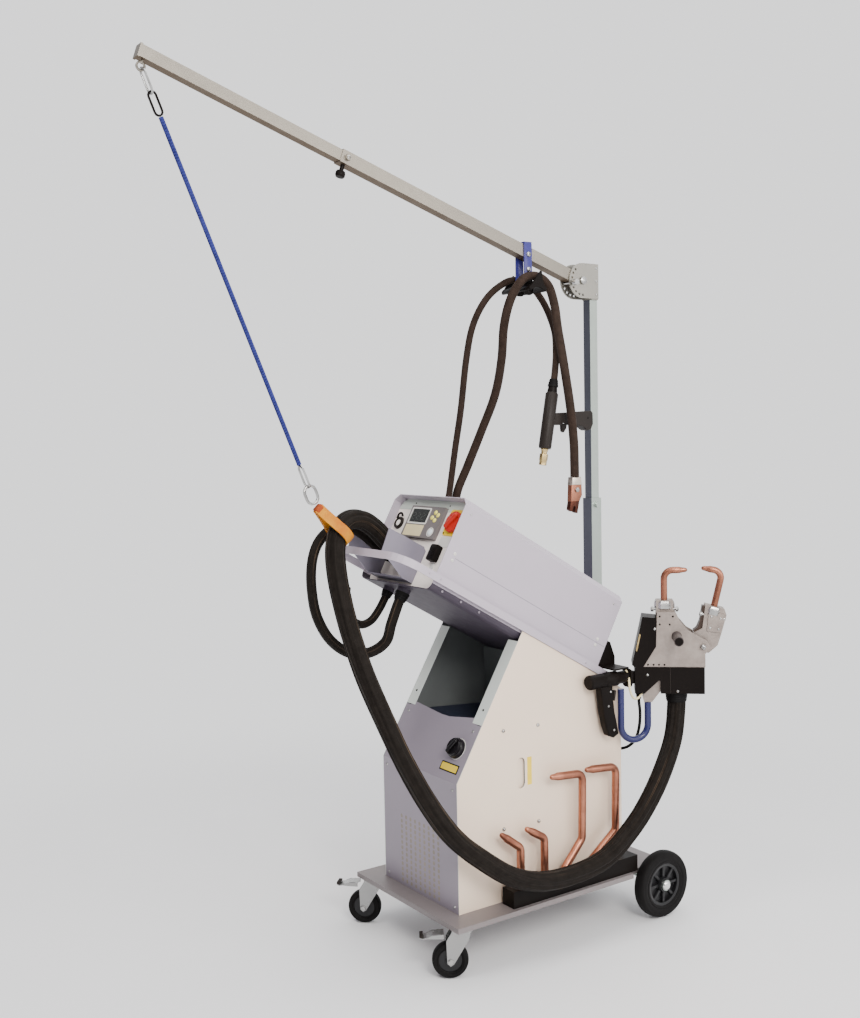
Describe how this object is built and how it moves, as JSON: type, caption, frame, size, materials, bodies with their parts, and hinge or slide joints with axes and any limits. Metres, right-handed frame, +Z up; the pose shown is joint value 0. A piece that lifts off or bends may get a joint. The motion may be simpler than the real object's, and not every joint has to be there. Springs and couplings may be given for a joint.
{
  "type": "mobile spot welder",
  "caption": "Wheeled spot welding machine with a tilted control box, a mast and folding boom, hose pack, pincer welding gun, stud gun, earth clamp and spare electrode arms.",
  "frame": {"origin": "On the floor, under the middle of the machine's box without its free cords and hoses", "axes": "+Z up, -Y the front where the boom points and the control panel faces, +X the machine's right side, where the welding gun hangs"},
  "size_m": [0.719, 1.6384, 2.4059],
  "materials": {
    "painted_grey": "semi-gloss powder coat",
    "painted_cream": "semi-gloss powder coat",
    "painted_lilac": "semi-gloss powder coat",
    "painted_blue": "gloss paint",
    "zinc": "zinc plated",
    "steel": "bright",
    "copper": "worn copper",
    "gun_metal": "cast and machined",
    "rubber": "matt",
    "black_plastic": "matt",
    "grey_plastic": "matt",
    "red_plastic": "gloss",
    "white_plastic": "gloss",
    "hose_sleeve": "woven black sleeve",
    "cable_sleeve": "woven brown sleeve",
    "rope_fibre": "braided blue",
    "sling_leather": "tan",
    "core_iron": "laminated"
  },
  "bodies": {
    "machine": {"platform": "painted_grey", "rear_axle": "zinc", "side_panel_right": "painted_cream", "side_panel_left": "painted_cream", "front_panel": "painted_grey", "rear_panel": "painted_grey", "storage_bin": "painted_grey", "transformer": "core_iron", "box_tray": "painted_lilac", "hood": "painted_lilac", "front_plate": "painted_cream", "display_module": "grey_plastic", "hose_guide": "painted_lilac", "mast_post": "zinc", "arm_holder": "black_plastic", "spare_arm_1": "copper", "spare_arm_2": "copper", "spare_arm_3": "copper", "spare_arm_4": "copper", "gun_support": "black_plastic", "gun_frame": "gun_metal", "gun_body": "black_plastic", "gun_cylinder": "gun_metal", "fixed_electrode": "copper", "gun_grip": "black_plastic", "gun_bow": "painted_blue", "hose_sling": "sling_leather", "hose_pack": "hose_sleeve", "return_hose": "hose_sleeve", "return_hose_small": "hose_sleeve", "gun_control_cable": "rubber"},
    "wheel_right": {"rear_wheel_right": "rubber"},
    "wheel_left": {"rear_wheel_left": "rubber"},
    "castor_right": {"castor_fork_right": "zinc"},
    "castor_left": {"castor_fork_left": "zinc"},
    "castor_roller_right": {"castor_wheel_right": "rubber"},
    "castor_roller_left": {"castor_wheel_left": "rubber"},
    "brake_right": {"castor_brake_right": "zinc"},
    "brake_left": {"castor_brake_left": "zinc"},
    "regulator": {"regulator_knob": "black_plastic"},
    "main_switch": {"switch_knob": "red_plastic"},
    "panel_button": {"enter_button": "white_plastic"},
    "mast": {"mast_tube": "zinc", "mast_head": "zinc"},
    "locking_pin": {"index_pin": "steel"},
    "boom": {"boom_tube": "zinc", "cable_bracket": "painted_blue"},
    "boom_inner": {"boom_extension": "zinc"},
    "hanger": {"top_carabiner": "steel", "rope_clip": "black_plastic", "balancer_rope": "rope_fibre", "lower_carabiner": "steel"},
    "cable_drop": {"stud_cable": "cable_sleeve", "earth_cable": "cable_sleeve", "stud_gun": "black_plastic", "earth_clamp": "copper"},
    "stud_gun_trigger": {"stud_trigger": "grey_plastic"},
    "welding_gun_trigger": {"gun_trigger": "grey_plastic"},
    "gun_jaw": {"gun_arm": "steel", "moving_electrode": "copper"}
  },
  "joints": [
    {"name": "wheel_right_roll", "type": "hinge", "parent": "machine", "child": "wheel_right", "pos_m": [0.2223, 0.6483, 0.1], "axis": [1, 0, 0], "continuous": true},
    {"name": "wheel_left_roll", "type": "hinge", "parent": "machine", "child": "wheel_left", "pos_m": [-0.3017, 0.6483, 0.1], "axis": [1, 0, 0], "continuous": true},
    {"name": "castor_right_swivel", "type": "hinge", "parent": "machine", "child": "castor_right", "pos_m": [0.1813, -0.0637, 0.13], "axis": [0, 0, 1], "continuous": true},
    {"name": "castor_left_swivel", "type": "hinge", "parent": "machine", "child": "castor_left", "pos_m": [-0.2607, -0.0637, 0.13], "axis": [0, 0, 1], "continuous": true},
    {"name": "castor_right_roll", "type": "hinge", "parent": "castor_right", "child": "castor_roller_right", "pos_m": [0.16115, -0.09473, 0.05], "axis": [0.8387, -0.5446, 0], "continuous": true},
    {"name": "castor_left_roll", "type": "hinge", "parent": "castor_left", "child": "castor_roller_left", "pos_m": [-0.28732, -0.0894, 0.05], "axis": [0.6947, -0.7193, 0], "continuous": true},
    {"name": "brake_right_press", "type": "hinge", "parent": "castor_right", "child": "brake_right", "pos_m": [0.14971, -0.11234, 0.121], "axis": [0.8387, -0.5446, 0], "range_deg": [0, 12]},
    {"name": "brake_left_press", "type": "hinge", "parent": "castor_left", "child": "brake_left", "pos_m": [-0.30242, -0.10399, 0.121], "axis": [0.6947, -0.7193, 0], "range_deg": [0, 12]},
    {"name": "regulator_turn", "type": "hinge", "parent": "machine", "child": "regulator", "pos_m": [0.0883, -0.00483, 0.596], "axis": [0, -0.8572, 0.515], "range_deg": [-140, 140]},
    {"name": "main_switch_turn", "type": "hinge", "parent": "machine", "child": "main_switch", "pos_m": [0.0853, -0.00371, 1.22711], "axis": [0, -0.8704, 0.4924], "range_deg": [-90, 0]},
    {"name": "panel_button_press", "type": "slide", "parent": "machine", "child": "panel_button", "axis": [0, 0.8704, -0.4924], "range_m": [0, 0.002], "stiffness_N_per_m": 400},
    {"name": "mast_height", "type": "slide", "parent": "machine", "child": "mast", "axis": [0, 0, 1], "range_m": [0, 0.25]},
    {"name": "locking_pin_pull", "type": "slide", "parent": "mast", "child": "locking_pin", "axis": [1, 0, 0], "range_m": [0, 0.06]},
    {"name": "boom_tilt", "type": "hinge", "parent": "mast", "child": "boom", "pos_m": [-0.0397, 0.5743, 1.928], "axis": [-1, 0, 0], "range_deg": [0, 70]},
    {"name": "boom_extend", "type": "slide", "parent": "boom", "child": "boom_inner", "axis": [0, -0.9489, 0.3156], "range_m": [0, 0.12]},
    {"name": "rope_swing", "type": "hinge", "parent": "boom_inner", "child": "hanger", "pos_m": [-0.0397, -0.8062, 2.3545], "axis": [-1, 0, 0], "range_deg": [-48, 0]},
    {"name": "cable_swing", "type": "hinge", "parent": "boom", "child": "cable_drop", "pos_m": [-0.0397, 0.3603, 1.862], "axis": [-1, 0, 0], "range_deg": [-70, 0]},
    {"name": "stud_trigger_press", "type": "slide", "parent": "cable_drop", "child": "stud_gun_trigger", "axis": [0, 0, 1], "range_m": [0, 0.003], "stiffness_N_per_m": 500},
    {"name": "gun_trigger_press", "type": "slide", "parent": "machine", "child": "welding_gun_trigger", "axis": [0, -1, 0], "range_m": [0, 0.004], "stiffness_N_per_m": 500},
    {"name": "gun_jaw_close", "type": "hinge", "parent": "machine", "child": "gun_jaw", "pos_m": [0.29453, 0.75132, 0.827], "axis": [0.7373, -0.6756, 0], "range_deg": [-25, 9]}
  ],
  "couplings": [
    {"joint": "rope_swing", "follows": "boom_tilt", "ratio": -0.673},
    {"joint": "cable_swing", "follows": "boom_tilt", "ratio": -1}
  ]
}
